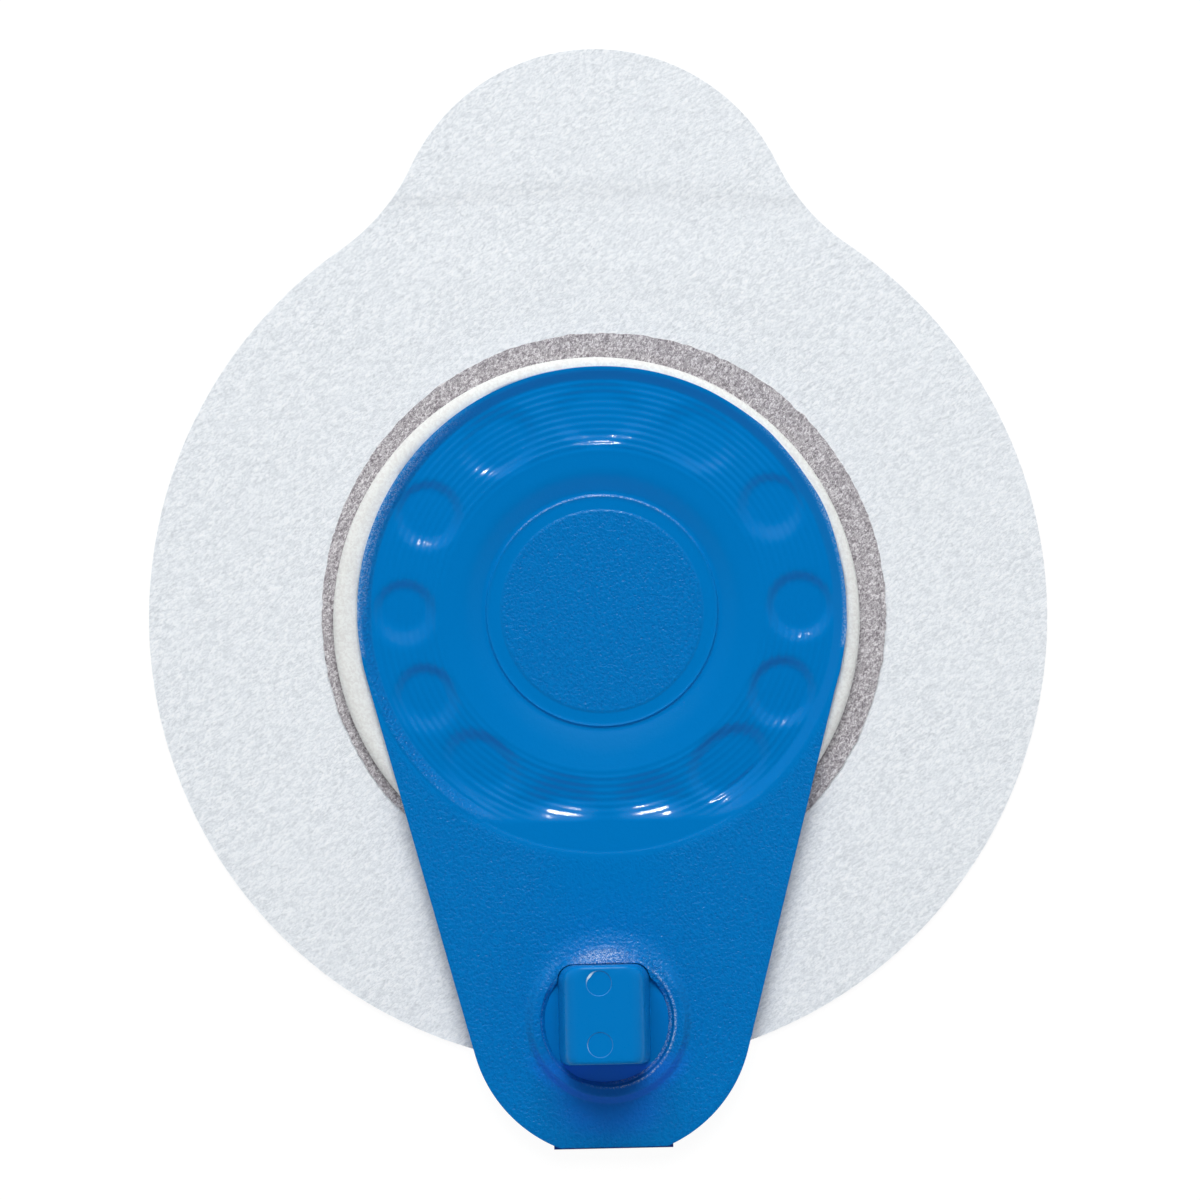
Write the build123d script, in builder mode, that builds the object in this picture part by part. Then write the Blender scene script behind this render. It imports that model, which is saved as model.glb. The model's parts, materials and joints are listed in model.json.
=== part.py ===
import os
from math import atan2, cos, hypot, radians, sin, sqrt

from build123d import *

# ECG electrode with an offset lead socket, in millimetres. The origin is the middle of
# the gel window on the skin plane, +Z points away from the skin, +Y to the grip lobe.

# Adhesive pad: a round nonwoven sheet with a grip lobe and a gel window
pad_radius = 27.8
pad_shift = (-0.24, -0.40)
pad_thickness = 0.35
lobe_radius = 12.56
lobe_shift = (-0.45, 22.22)
lobe_fillet = 13.0
window_radius = 10.0

# Grip strip: keeps the lobe free of adhesive, and its edge makes the crease
grip_edge = 25.6
grip_thickness = 0.10

# Bonding web and foam, laid by hand a little off centre
bond_radius = 17.46
bond_shift = (0.12, -0.25)
bond_thickness = 0.10
foam_radius = 16.3
foam_shift = (-0.34, -0.59)
foam_thickness = 0.85
foam_floor = 0.10

# Gel sponge in the window
sponge_clearance = 0.05

# Sensor strip with its round sensing end, and the stiffener disc on top of that end
strip_width = 7.37
strip_thickness = 0.20
strip_clearance = 0.10
strip_rise_start = 13.5
strip_rise_end = 17.5
sensing_radius = 6.0
stiffener_thickness = 0.20

# Cover film: round head, tapering tongue with a straight end, all turned a little
film_thickness = 0.35
film_turn = 1.26
head_radius = 15.15
tail_radius = 8.73
tail_reach = 25.1
tail_end = 33.25
strip_show = 0.08

# Dish pressed into the head of the film
rim_width = 0.20
dish_wall = 0.60
band_drop = 0.35
crest_radius = 10.1
crest_drop = 0.05
ring_count = 4
ring_height = 0.06
knee_radius = 8.6
knee_drop = 0.19
step_slope = 0.16
ledge_width = 0.72
ledge_rise = 0.10
dimple_margin = 0.12
dimple_floor = 0.10
dimple_flat_share = 0.8
upper_dimples = 7
lower_dimples = 6

# Ramp from the pressed band up to the tongue
ramp_length = 1.85
ramp_drop = 0.09
ramp_foot = 1.4
ramp_lip = 0.2

# Lead socket: a moulded block on a flange under the film, with a 4 mm bore
bore_radius = 2.0
sleeve_wall = 0.20
sleeve_length = 5.0
sleeve_slit = 0.5
block_width = 5.66
block_length = 6.10
block_corner = 1.25
corner_ease = 0.10
block_shoulder = 1.0
block_draft = 4.0
block_shift = (-0.40, 0.2)
block_roof = 0.70
block_floor = 0.55
flange_lap = 0.40
flange_thickness = 0.40
hole_clearance = 0.05
collar_slope = 0.80
mouth_chamfer = 0.3
leg_width = 1.6
leg_length = 1.2
mark_radius = 0.79
mark_pitch = 3.85
mark_depth = 0.08

# Levels above the skin
foam_base = pad_thickness + bond_thickness
film_base = foam_base + foam_thickness
film_top = film_base + film_thickness
strip_base = foam_base + foam_floor
strip_top = strip_base + strip_thickness
valley_top = strip_top + film_thickness
ledge_top = valley_top + ledge_rise
disc_top = valley_top + stiffener_thickness
crest_top = film_top - crest_drop
knee_top = film_top - knee_drop
band_low = film_top - band_drop
ramp_low = film_top - ramp_drop
flange_top = film_base + flange_thickness
collar_top = flange_top + film_thickness
sleeve_radius = bore_radius + sleeve_wall
bore_height = flange_top + block_floor + sleeve_radius
block_top = bore_height + sleeve_radius + block_roof

# Radii worked out from the film's head and the pieces under it
dish_radius = head_radius - rim_width
band_radius = dish_radius - dish_wall
dimple_ring = (crest_radius + band_radius) / 2
dimple_radius = (band_radius - crest_radius) / 2 - dimple_margin
dimple_flat = dimple_radius * dimple_flat_share
dimple_depth = film_thickness - dimple_floor
ramp_start = dish_radius - ramp_length
disc_edge = sensing_radius + step_slope
ledge_start = disc_edge + step_slope
ledge_end = ledge_start + ledge_width
valley_radius = ledge_end + step_slope
block_reach_x = block_width / 2 + corner_ease + abs(block_shift[0])
block_reach_y = block_length / 2 + abs(block_shift[1])
corner_relief = block_corner * (sqrt(2) - 1)
hole_radius = hypot(block_reach_x, block_reach_y) - corner_relief + hole_clearance
flange_radius = hole_radius + flange_lap
collar_radius = flange_radius + film_thickness

# Planes of the film: its own XY plane, and the upright plane along the tongue whose
# X runs out along the tongue and whose Y is up
turn = radians(film_turn)
tongue_dir = Vector(sin(turn), -cos(turn), 0)
across_dir = Vector(cos(turn), sin(turn), 0)
film_plane = Plane(origin=(0, 0, 0), x_dir=across_dir, z_dir=(0, 0, 1))
tongue_plane = Plane(origin=(0, 0, 0), x_dir=tongue_dir, z_dir=-across_dir)
tail_plane = Plane(origin=film_plane.from_local_coords((0, -tail_reach, 0)), x_dir=across_dir)
block_plane = Plane(
    origin=film_plane.from_local_coords((block_shift[0], -tail_reach + block_shift[1], 0)),
    x_dir=across_dir,
)
mouth_plane = Plane(
    origin=block_plane.from_local_coords((0, -block_length / 2, bore_height)),
    x_dir=across_dir,
    z_dir=tongue_dir,
)

os.makedirs("parts", exist_ok=True)

# Outline of the pad with its lobe, shared by the pad and the grip strip. The hollow
# corners between the two circles are rounded by circles that touch both from outside.
lobe_line = Vector(*lobe_shift) - Vector(*pad_shift)
pad_to_corner = pad_radius + lobe_fillet
lobe_to_corner = lobe_radius + lobe_fillet
corner_along = (pad_to_corner**2 - lobe_to_corner**2 + lobe_line.length**2) / (2 * lobe_line.length)
corner_aside = sqrt(pad_to_corner**2 - corner_along**2)
lobe_plane = Plane(origin=pad_shift, x_dir=lobe_line.normalized())
corners = [
    tuple(lobe_plane.from_local_coords((corner_along, side * corner_aside)))[:2]
    for side in (-1, 1)
]

with BuildSketch() as pad_outline:
    with BuildLine():
        Polyline(pad_shift, corners[0], lobe_shift, corners[1], close=True)
    make_face()
    with Locations(*corners):
        Circle(lobe_fillet, mode=Mode.SUBTRACT)
    with Locations(pad_shift):
        Circle(pad_radius)
    with Locations(lobe_shift):
        Circle(lobe_radius)

with BuildSketch() as grip_outline:
    add(pad_outline.sketch)
    with Locations((0, grip_edge)):
        Rectangle(4 * pad_radius, 4 * pad_radius, align=(Align.CENTER, Align.MIN), mode=Mode.INTERSECT)

with BuildPart() as grip_strip:
    add(grip_outline.sketch)
    extrude(amount=grip_thickness)
grip_strip.part.label = "grip_strip"
export_step(grip_strip.part, "parts/grip_strip.step")

# Pad: flat on the skin, and one strip's thickness higher over the grip strip
with BuildPart() as backing_pad:
    with BuildSketch():
        add(pad_outline.sketch)
        add(grip_outline.sketch, mode=Mode.SUBTRACT)
        Circle(window_radius, mode=Mode.SUBTRACT)
    extrude(amount=pad_thickness)
    with BuildSketch(Plane.XY.offset(grip_thickness)):
        add(grip_outline.sketch)
    extrude(amount=pad_thickness)
backing_pad.part.label = "backing_pad"
export_step(backing_pad.part, "parts/backing_pad.step")

with BuildPart() as bonding_ring:
    with BuildSketch(Plane.XY.offset(pad_thickness)):
        with Locations(bond_shift):
            Circle(bond_radius)
        Circle(window_radius, mode=Mode.SUBTRACT)
    extrude(amount=bond_thickness)
bonding_ring.part.label = "bonding_ring"
export_step(bonding_ring.part, "parts/bonding_ring.step")

# Sensor strip: flat under the dish, then up to the film of the tongue
with BuildPart() as sensor_strip:
    with BuildSketch(tongue_plane):
        with BuildLine():
            Polyline(
                (0, strip_base),
                (strip_rise_start, strip_base),
                (strip_rise_end, film_base - strip_thickness),
                (tail_end, film_base - strip_thickness),
                (tail_end, film_base),
                (strip_rise_end, film_base),
                (strip_rise_start, strip_top),
                (0, strip_top),
                close=True,
            )
        make_face()
    extrude(amount=strip_width / 2, both=True)
    with BuildSketch(film_plane.offset(strip_base)):
        Circle(sensing_radius)
    extrude(amount=strip_thickness)
sensor_strip.part.label = "sensor_strip"
export_step(sensor_strip.part, "parts/sensor_strip.step")

with BuildPart() as stiffener_disc:
    with BuildSketch(film_plane.offset(strip_top)):
        Circle(sensing_radius)
    extrude(amount=stiffener_thickness)
stiffener_disc.part.label = "stiffener_disc"
export_step(stiffener_disc.part, "parts/stiffener_disc.step")


# Dish: the film's upper face has a ledge round its disc and a knee, its back runs straight past both
disc_stations = [(0, disc_top), (disc_edge, disc_top)]
ledge_stations = [(ledge_start, ledge_top), (ledge_end, ledge_top)]
slope_stations = [(valley_radius, valley_top), (knee_radius, knee_top), (crest_radius, crest_top)]
back_stations = [
    (radius, level - film_thickness)
    for radius, level in disc_stations + slope_stations[::2]
]


# Fine rings: a saw-tooth down the band from the crest to the wall of the dish
def ring_stations():
    half_pitch = (band_radius - crest_radius) / (2 * ring_count)
    band_slope = (crest_top - band_low) / (band_radius - crest_radius)
    stations = []
    for step in range(1, 2 * ring_count + 1):
        ridge = ring_height * (step % 2)
        stations.append((
            crest_radius + step * half_pitch,
            crest_top - step * half_pitch * band_slope + ridge,
        ))
    return stations


# Dimple: a shallow dish with a flat floor, square to the slope of the band
band_lean = atan2(crest_top - band_low, band_radius - crest_radius)
band_middle = crest_top - (dimple_ring - crest_radius) * (crest_top - band_low) / (band_radius - crest_radius)
lower_pitch = 180 / (lower_dimples + 1)
dimple_spread = (dimple_radius - dimple_flat) / dimple_depth
dimple_height = dimple_depth + 2 * ring_height
dimple_plane = Plane(
    origin=(dimple_ring, 0, band_middle),
    x_dir=(cos(band_lean), 0, -sin(band_lean)),
    z_dir=(sin(band_lean), 0, cos(band_lean)),
).offset(-dimple_depth)


with BuildPart(dimple_plane) as dimple_cap:
    Cone(
        dimple_flat,
        dimple_flat + dimple_height * dimple_spread,
        dimple_height,
        align=(Align.CENTER, Align.CENTER, Align.MIN),
    )


# Ramp: what stays solid under the way up from the band to the tongue
def ramp_block(lowered):
    with BuildPart() as ramp:
        with BuildSketch(tongue_plane):
            with BuildLine():
                Polyline(
                    (ramp_start - ramp_foot, 0),
                    (ramp_start - ramp_foot, band_low - dimple_depth - lowered),
                    (ramp_start, ramp_low - lowered),
                    (dish_radius + ramp_lip, film_top - lowered),
                    (dish_radius + ramp_lip, 0),
                    close=True,
                )
            make_face()
        extrude(amount=head_radius, both=True)
    return ramp.part


# Back of the dish: everything from the film's lower face up to the film's upper plane
with BuildPart(film_plane) as dish_back:
    with BuildSketch(Plane.XZ):
        with BuildLine():
            Polyline(
                *back_stations,
                (band_radius, band_low - film_thickness),
                (dish_radius, film_base),
                (dish_radius, film_top),
                (0, film_top),
                close=True,
            )
        make_face()
    revolve(axis=Axis.Z)
    add(ramp_block(film_thickness), mode=Mode.SUBTRACT)

# Hollow of the dish: the open space above the film's upper face
with BuildPart(film_plane) as dish_hollow:
    with BuildSketch(Plane.XZ):
        with BuildLine():
            Polyline(
                *disc_stations,
                *ledge_stations,
                *slope_stations,
                *ring_stations(),
                (dish_radius, film_top),
                (dish_radius, collar_top),
                (0, collar_top),
                close=True,
            )
        make_face()
    revolve(axis=Axis.Z)
    with PolarLocations(0, upper_dimples, angular_range=180, endpoint=True):
        add(dimple_cap.part)
    with PolarLocations(
        0,
        lower_dimples,
        start_angle=180 + lower_pitch,
        angular_range=180 - 2 * lower_pitch,
        endpoint=True,
    ):
        add(dimple_cap.part)
    add(ramp_block(0), mode=Mode.SUBTRACT)

# Cover film: outline, dish, and a collar over the socket's flange
with BuildPart() as cover_film:
    with BuildSketch(film_plane.offset(film_base)):
        Circle(head_radius)
        with Locations((0, -tail_reach)):
            Circle(tail_radius)
        make_hull()
        with Locations((0, strip_show - tail_end)):
            Rectangle(4 * tail_radius, tail_radius, align=(Align.CENTER, Align.MAX), mode=Mode.SUBTRACT)
    extrude(amount=film_thickness)
    with BuildSketch(tongue_plane):
        with BuildLine():
            Polyline(
                (tail_reach, film_base),
                (tail_reach + collar_radius + collar_slope / 2, film_base),
                (tail_reach + collar_radius + collar_slope / 2, film_top),
                (tail_reach + collar_radius - collar_slope / 2, collar_top),
                (tail_reach, collar_top),
                close=True,
            )
        make_face()
    revolve(axis=Axis(tail_plane.origin, (0, 0, 1)))
    with BuildSketch(tail_plane.offset(film_base)):
        Circle(flange_radius)
    extrude(amount=flange_thickness, mode=Mode.SUBTRACT)
    with BuildSketch(tail_plane.offset(film_base)):
        Circle(hole_radius)
    extrude(amount=collar_top - film_base, mode=Mode.SUBTRACT)
    add(dish_back.part)
    add(dish_hollow.part, mode=Mode.SUBTRACT)
cover_film.part.label = "cover_film"
export_step(cover_film.part, "parts/cover_film.step")

# Foam ring: takes the print of the pressed dish, with an open channel for the strip
channel_width = strip_width + 2 * strip_clearance
with BuildPart() as foam_ring:
    with BuildSketch(Plane.XY.offset(foam_base)):
        with Locations(foam_shift):
            Circle(foam_radius)
        Circle(window_radius, mode=Mode.SUBTRACT)
    extrude(amount=foam_thickness)
    with BuildSketch(film_plane.offset(strip_base)):
        Rectangle(channel_width, 2 * foam_radius, align=(Align.CENTER, Align.MAX))
    extrude(amount=foam_thickness, mode=Mode.SUBTRACT)
    add(dish_back.part, mode=Mode.SUBTRACT)
foam_ring.part.label = "foam_ring"
export_step(foam_ring.part, "parts/foam_ring.step")

# Gel sponge: fills the window from the skin up to the strip's sensing end
with BuildPart() as gel_sponge:
    with BuildSketch():
        Circle(window_radius - sponge_clearance)
    extrude(amount=strip_base)
gel_sponge.part.label = "gel_sponge"
export_step(gel_sponge.part, "parts/gel_sponge.step")

# Contact sleeve: split at the top, with a leg down to the strip
with BuildPart() as contact_sleeve:
    with BuildSketch(block_plane.offset(film_base)):
        Rectangle(leg_width, leg_length)
    extrude(amount=bore_height - film_base)
    with BuildSketch(mouth_plane.offset(-mouth_chamfer)):
        Circle(sleeve_radius)
        Rectangle(sleeve_slit, sleeve_radius, align=(Align.CENTER, Align.MIN), mode=Mode.SUBTRACT)
    extrude(amount=-sleeve_length)
    with BuildSketch(mouth_plane):
        Circle(bore_radius)
    extrude(amount=-block_length, mode=Mode.SUBTRACT)
contact_sleeve.part.label = "contact_sleeve"
export_step(contact_sleeve.part, "parts/contact_sleeve.step")

# Socket housing: block with leaning sides on a round flange, moulded round the sleeve
with BuildPart() as socket_housing:
    with BuildSketch(mouth_plane):
        with Locations((0, block_top - bore_height)):
            arch = Trapezoid(
                block_width, block_top - flange_top, 90 - block_draft, align=(Align.CENTER, Align.MAX)
            )
        fillet(arch.vertices().group_by(Axis.Y)[-1], block_shoulder)
    extrude(amount=-block_length)
    with BuildSketch(block_plane.offset(flange_top)):
        RectangleRounded(block_width + 2 * corner_ease, block_length, block_corner)
    extrude(amount=block_top - flange_top, mode=Mode.INTERSECT)
    with BuildSketch(tail_plane.offset(film_base)):
        Circle(flange_radius)
    extrude(amount=flange_thickness)
    with BuildSketch(mouth_plane):
        Circle(sleeve_radius)
    extrude(amount=-mouth_chamfer - sleeve_length, mode=Mode.SUBTRACT)
    with BuildSketch(mouth_plane):
        Circle(sleeve_radius + mouth_chamfer)
    extrude(amount=-mouth_chamfer, taper=45, mode=Mode.SUBTRACT)
    with BuildSketch(block_plane.offset(film_base)):
        Rectangle(leg_width, leg_length)
    extrude(amount=bore_height - film_base, mode=Mode.SUBTRACT)
    with BuildSketch(block_plane.offset(block_top)):
        with GridLocations(0, mark_pitch, 1, 2):
            Circle(mark_radius)
    extrude(amount=-mark_depth, mode=Mode.SUBTRACT)
socket_housing.part.label = "socket_housing"
export_step(socket_housing.part, "parts/socket_housing.step")
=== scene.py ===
import json
import math

import bmesh
import bpy
from mathutils import Matrix, Vector, noise


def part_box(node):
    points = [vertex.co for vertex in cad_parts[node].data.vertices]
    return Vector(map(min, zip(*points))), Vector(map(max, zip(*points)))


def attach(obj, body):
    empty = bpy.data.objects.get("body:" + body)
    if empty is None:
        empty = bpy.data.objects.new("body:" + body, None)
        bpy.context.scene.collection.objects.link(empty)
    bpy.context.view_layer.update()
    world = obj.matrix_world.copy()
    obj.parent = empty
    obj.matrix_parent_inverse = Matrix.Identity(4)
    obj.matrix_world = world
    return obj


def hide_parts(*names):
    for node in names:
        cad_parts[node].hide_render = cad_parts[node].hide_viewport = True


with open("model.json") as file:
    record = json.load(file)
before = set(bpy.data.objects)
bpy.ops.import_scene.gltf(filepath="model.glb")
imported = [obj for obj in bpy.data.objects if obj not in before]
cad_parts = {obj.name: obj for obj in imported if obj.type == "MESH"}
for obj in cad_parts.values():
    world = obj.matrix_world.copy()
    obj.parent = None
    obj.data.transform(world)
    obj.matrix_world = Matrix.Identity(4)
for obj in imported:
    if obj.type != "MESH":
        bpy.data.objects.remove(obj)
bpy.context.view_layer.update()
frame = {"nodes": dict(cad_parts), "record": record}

# ECG electrode seen from straight above. Lengths are in millimetres until a mesh is finished.
mm = 0.001


def boxMm(node):
    low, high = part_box(node)
    return low / mm, high / mm


# the film, the socket and all that they carry are turned a little about the gel's middle
socketMount = next(m for m in frame["record"]["mounts"] if m["name"] == "lead_socket")
filmTurn = math.atan2(socketMount["axis"][0], -socketMount["axis"][1])
turnMatrix = Matrix.Rotation(filmTurn, 4, "Z")
webTop = boxMm("bonding_ring")[1].z
foamTop = boxMm("foam_ring")[1].z
print("frame read, film turned", round(math.degrees(filmTurn), 2), "degrees")


# small tools
def smooth(low, high, value):
    share = min(1.0, max(0.0, (value - low) / (high - low)))
    return share * share * (3 - 2 * share)


def ripple(x, y, size, seed=0.0):
    return noise.noise(Vector((x / size, y / size, seed)))


def spinRound(bm, points, steps):
    verts = [bm.verts.new(p) for p in points]
    edges = [bm.edges.new(pair) for pair in zip(verts, verts[1:])]
    bmesh.ops.spin(
        bm, geom=verts + edges, cent=(0, 0, 0), axis=(0, 0, 1),
        angle=2 * math.pi, steps=steps, use_merge=True,
    )
    bmesh.ops.remove_doubles(bm, verts=bm.verts[:], dist=1e-4)


def roundEdges(bm, edges, width, segments):
    bmesh.ops.bevel(
        bm, geom=edges, offset=width, offset_type="OFFSET", segments=segments,
        profile=0.5, affect="EDGES", material=-1, clamp_overlap=True,
    )


def addPiece(name, bm, materials, replaced):
    bmesh.ops.scale(bm, vec=(mm, mm, mm), verts=bm.verts[:])
    mesh = bpy.data.meshes.new(name)
    bm.to_mesh(mesh)
    bm.free()
    mesh.shade_smooth()
    piece = bpy.data.objects.new(name, mesh)
    bpy.context.scene.collection.objects.link(piece)
    for material in materials:
        mesh.materials.append(material)
    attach(piece, "root")
    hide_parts(replaced)
    return piece


def thicken(bm, thickness):
    bmesh.ops.solidify(bm, geom=bm.faces[:], thickness=thickness)
    bmesh.ops.recalc_face_normals(bm, faces=bm.faces[:])


# the film's underside is its top lowered straight down, so that small steps don't fold it
def thickenDown(bm, thickness):
    grown = bmesh.ops.extrude_face_region(bm, geom=bm.faces[:], use_keep_orig=True)["geom"]
    lowered = [g for g in grown if isinstance(g, bmesh.types.BMVert)]
    bmesh.ops.translate(bm, vec=(0, 0, -thickness), verts=lowered)
    bmesh.ops.recalc_face_normals(bm, faces=bm.faces[:])


def sharpEdges(bm, degrees):
    return [e for e in bm.edges if e.calc_face_angle(0.0) > math.radians(degrees)]


# materials
def place(tree, kind, values=(), **settings):
    node = tree.nodes.new(kind)
    for key, value in settings.items():
        setattr(node, key, value)
    for socket, value in dict(values).items():
        if isinstance(value, bpy.types.NodeSocket):
            tree.links.new(value, node.inputs[socket])
        else:
            node.inputs[socket].default_value = value
    return node


def mixColour(tree, share, first, second):
    values = {0: share, 6: first, 7: second}
    return place(tree, "ShaderNodeMix", values, data_type="RGBA").outputs[2]


def mathNode(tree, operation, first, second):
    return place(tree, "ShaderNodeMath", {0: first, 1: second}, operation=operation).outputs[0]


def stretchRange(tree, value, low, high, newLow, newHigh):
    values = {"Value": value, "From Min": low, "From Max": high, "To Min": newLow, "To Max": newHigh}
    return place(tree, "ShaderNodeMapRange", values).outputs[0]


def startGroup(name, inputs, outputs):
    group = bpy.data.node_groups.new(name, "ShaderNodeTree")
    for label, kind, value in inputs:
        socket = group.interface.new_socket(label, in_out="INPUT", socket_type=kind)
        if value is not None:
            socket.default_value = value
    for label, kind in outputs:
        group.interface.new_socket(label, in_out="OUTPUT", socket_type=kind)
    return group, place(group, "NodeGroupInput").outputs, place(group, "NodeGroupOutput").inputs


# laid fibres: fine streaks, clumps and slow clouds of thicker and thinner web
def fibreGroup():
    group, given, result = startGroup(
        "laidFibres",
        [("Vector", "NodeSocketVector", None), ("Scale", "NodeSocketFloat", 1000.0)],
        [("Fibres", "NodeSocketFloat"), ("Clumps", "NodeSocketFloat"), ("Clouds", "NodeSocketFloat")],
    )
    finer = mathNode(group, "MULTIPLY", given["Scale"], 2.3)
    slower = mathNode(group, "MULTIPLY", given["Scale"], 0.45)
    slowest = mathNode(group, "MULTIPLY", given["Scale"], 0.055)
    outputs = []
    layers = ((given["Scale"], 3, 0.8), (finer, 2, 0.4), (slower, 3, 1.0), (slowest, 3, 0.3))
    for scale, detail, distortion in layers:
        values = {"Vector": given["Vector"], "Scale": scale, "Detail": detail, "Distortion": distortion}
        outputs.append(place(group, "ShaderNodeTexNoise", values).outputs[0])
    streaks = place(group, "ShaderNodeMix", {0: 0.38, 2: outputs[0], 3: outputs[1]}).outputs[0]
    group.links.new(streaks, result["Fibres"])
    group.links.new(outputs[2], result["Clumps"])
    group.links.new(outputs[3], result["Clouds"])
    return group


# pebbled skin of a formed film or a spark-eroded mould
def pebbleGroup():
    group, given, result = startGroup(
        "pebbleGrain",
        [("Vector", "NodeSocketVector", None), ("Scale", "NodeSocketFloat", 3000.0)],
        [("Height", "NodeSocketFloat"), ("Fine", "NodeSocketFloat")],
    )
    cells = place(
        group, "ShaderNodeTexVoronoi",
        {"Vector": given["Vector"], "Scale": given["Scale"], "Smoothness": 0.8, "Randomness": 1.0},
        feature="SMOOTH_F1",
    ).outputs[0]
    values = {"Vector": given["Vector"], "Scale": given["Scale"], "Detail": 3.0, "Distortion": 0.7}
    waves = place(group, "ShaderNodeTexNoise", values).outputs[0]
    height = place(group, "ShaderNodeMix", {0: 0.6, 2: cells, 3: waves}).outputs[0]
    group.links.new(height, result["Height"])
    group.links.new(waves, result["Fine"])
    return group


laidFibres = fibreGroup()
pebbleGrain = pebbleGroup()


def startMaterial(name, base, roughness, specular):
    material = bpy.data.materials.new(name)
    material.use_nodes = True
    tree = material.node_tree
    shader = tree.nodes["Principled BSDF"]
    shader.inputs["Base Color"].default_value = (*base, 1)
    shader.inputs["Roughness"].default_value = roughness
    shader.inputs["Specular IOR Level"].default_value = specular
    coords = place(tree, "ShaderNodeTexCoord").outputs
    return material, tree, shader, coords


def useBump(tree, shader, height, strength, distance):
    values = {"Height": height, "Strength": strength, "Distance": distance * mm}
    bump = place(tree, "ShaderNodeBump", values)
    tree.links.new(bump.outputs[0], shader.inputs["Normal"])


def fillGroup(tree, group, vector, scale):
    node = tree.nodes.new("ShaderNodeGroup")
    node.node_tree = group
    tree.links.new(vector, node.inputs["Vector"])
    node.inputs["Scale"].default_value = scale
    return node.outputs


def layAlong(tree, coords, degrees, stretch):
    turn = {"Vector": coords["Object"], "Rotation": (0, 0, -math.radians(degrees))}
    turned = place(tree, "ShaderNodeMapping", turn).outputs[0]
    return place(tree, "ShaderNodeMapping", {"Vector": turned, "Scale": (1 / stretch, 1, 1)}).outputs[0]


nonwoven = {"deep": (0.63, 0.665, 0.705), "body": (0.865, 0.905, 0.945), "lifted": (0.97, 0.985, 1.0),
            "lean": 38, "stretch": 2.4, "scale": 6300}


def nonwovenMaterial():
    material, tree, shader, coords = startMaterial("white nonwoven", nonwoven["body"], 0.9, 0.2)
    along = layAlong(tree, coords, nonwoven["lean"], nonwoven["stretch"])
    fibres = fillGroup(tree, laidFibres, along, nonwoven["scale"])
    low = stretchRange(tree, fibres["Fibres"], 0.33, 0.56, 0.0, 1.0)
    high = stretchRange(tree, fibres["Fibres"], 0.5, 0.7, 0.0, 1.0)
    tone = mixColour(tree, low, (*nonwoven["deep"], 1), (*nonwoven["body"], 1))
    tone = mixColour(tree, high, tone, (*nonwoven["lifted"], 1))
    cloud = stretchRange(tree, fibres["Clouds"], 0.3, 0.7, 0.0, 0.25)
    tone = mixColour(tree, cloud, tone, (*nonwoven["body"], 1))
    tree.links.new(tone, shader.inputs["Base Color"])
    height = mathNode(tree, "ADD", fibres["Fibres"], fibres["Clumps"])
    useBump(tree, shader, height, 0.5, 0.08)
    return material


adhesive = {"tone": (0.74, 0.75, 0.76)}


def adhesiveMaterial():
    material, tree, shader, coords = startMaterial("adhesive coat", adhesive["tone"], 0.35, 0.5)
    fibres = fillGroup(tree, laidFibres, coords["Object"], 2600)
    rough = stretchRange(tree, fibres["Clumps"], 0.3, 0.7, 0.28, 0.5)
    tree.links.new(rough, shader.inputs["Roughness"])
    useBump(tree, shader, fibres["Fibres"], 0.3, 0.05)
    return material


web = {"deep": (0.16, 0.14, 0.155), "body": (0.42, 0.395, 0.42), "lifted": (0.80, 0.78, 0.80), "scale": 7600}


def webMaterial():
    material, tree, shader, coords = startMaterial("grey bonding web", web["body"], 0.8, 0.3)
    along = layAlong(tree, coords, 50, 1.4)
    fibres = fillGroup(tree, laidFibres, along, web["scale"])
    low = stretchRange(tree, fibres["Fibres"], 0.36, 0.5, 0.0, 1.0)
    high = stretchRange(tree, fibres["Fibres"], 0.5, 0.62, 0.0, 1.0)
    tone = mixColour(tree, low, (*web["deep"], 1), (*web["body"], 1))
    tone = mixColour(tree, high, tone, (*web["lifted"], 1))
    tree.links.new(tone, shader.inputs["Base Color"])
    useBump(tree, shader, fibres["Fibres"], 0.6, 0.08)
    return material


foam = {"tone": (0.86, 0.88, 0.86), "shade": (0.74, 0.735, 0.72)}


def foamMaterial():
    material, tree, shader, coords = startMaterial("cream foam", foam["tone"], 0.8, 0.2)
    cells = fillGroup(tree, pebbleGrain, coords["Object"], 5200)
    share = stretchRange(tree, cells["Fine"], 0.38, 0.62, 0.8, 0.0)
    tone = mixColour(tree, share, (*foam["tone"], 1), (*foam["shade"], 1))
    tree.links.new(tone, shader.inputs["Base Color"])
    useBump(tree, shader, cells["Height"], 0.3, 0.04)
    return material


gel = {"tone": (0.72, 0.76, 0.74), "pore": (0.50, 0.56, 0.55)}


def gelMaterial():
    material, tree, shader, coords = startMaterial("wet sponge", gel["tone"], 0.22, 0.5)
    cells = fillGroup(tree, pebbleGrain, coords["Object"], 1500)
    share = stretchRange(tree, cells["Height"], 0.2, 0.6, 0.0, 1.0)
    tone = mixColour(tree, share, (*gel["pore"], 1), (*gel["tone"], 1))
    tree.links.new(tone, shader.inputs["Base Color"])
    useBump(tree, shader, cells["Height"], 0.6, 0.2)
    return material


# the violet tone is painted shade, the pale tone a painted highlight and the gap tone a painted shadow
blueFilm = {"tone": (0.0, 0.186, 0.545), "deep": (0.0, 0.148, 0.47), "paintedShade": (0.01, 0.165, 0.75),
            "paintedHighlight": (0.50, 0.62, 0.80), "gap": (0.0, 0.035, 0.09),
            "grain": 5600, "fleck": 12500, "grainDepth": 0.075}


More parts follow.
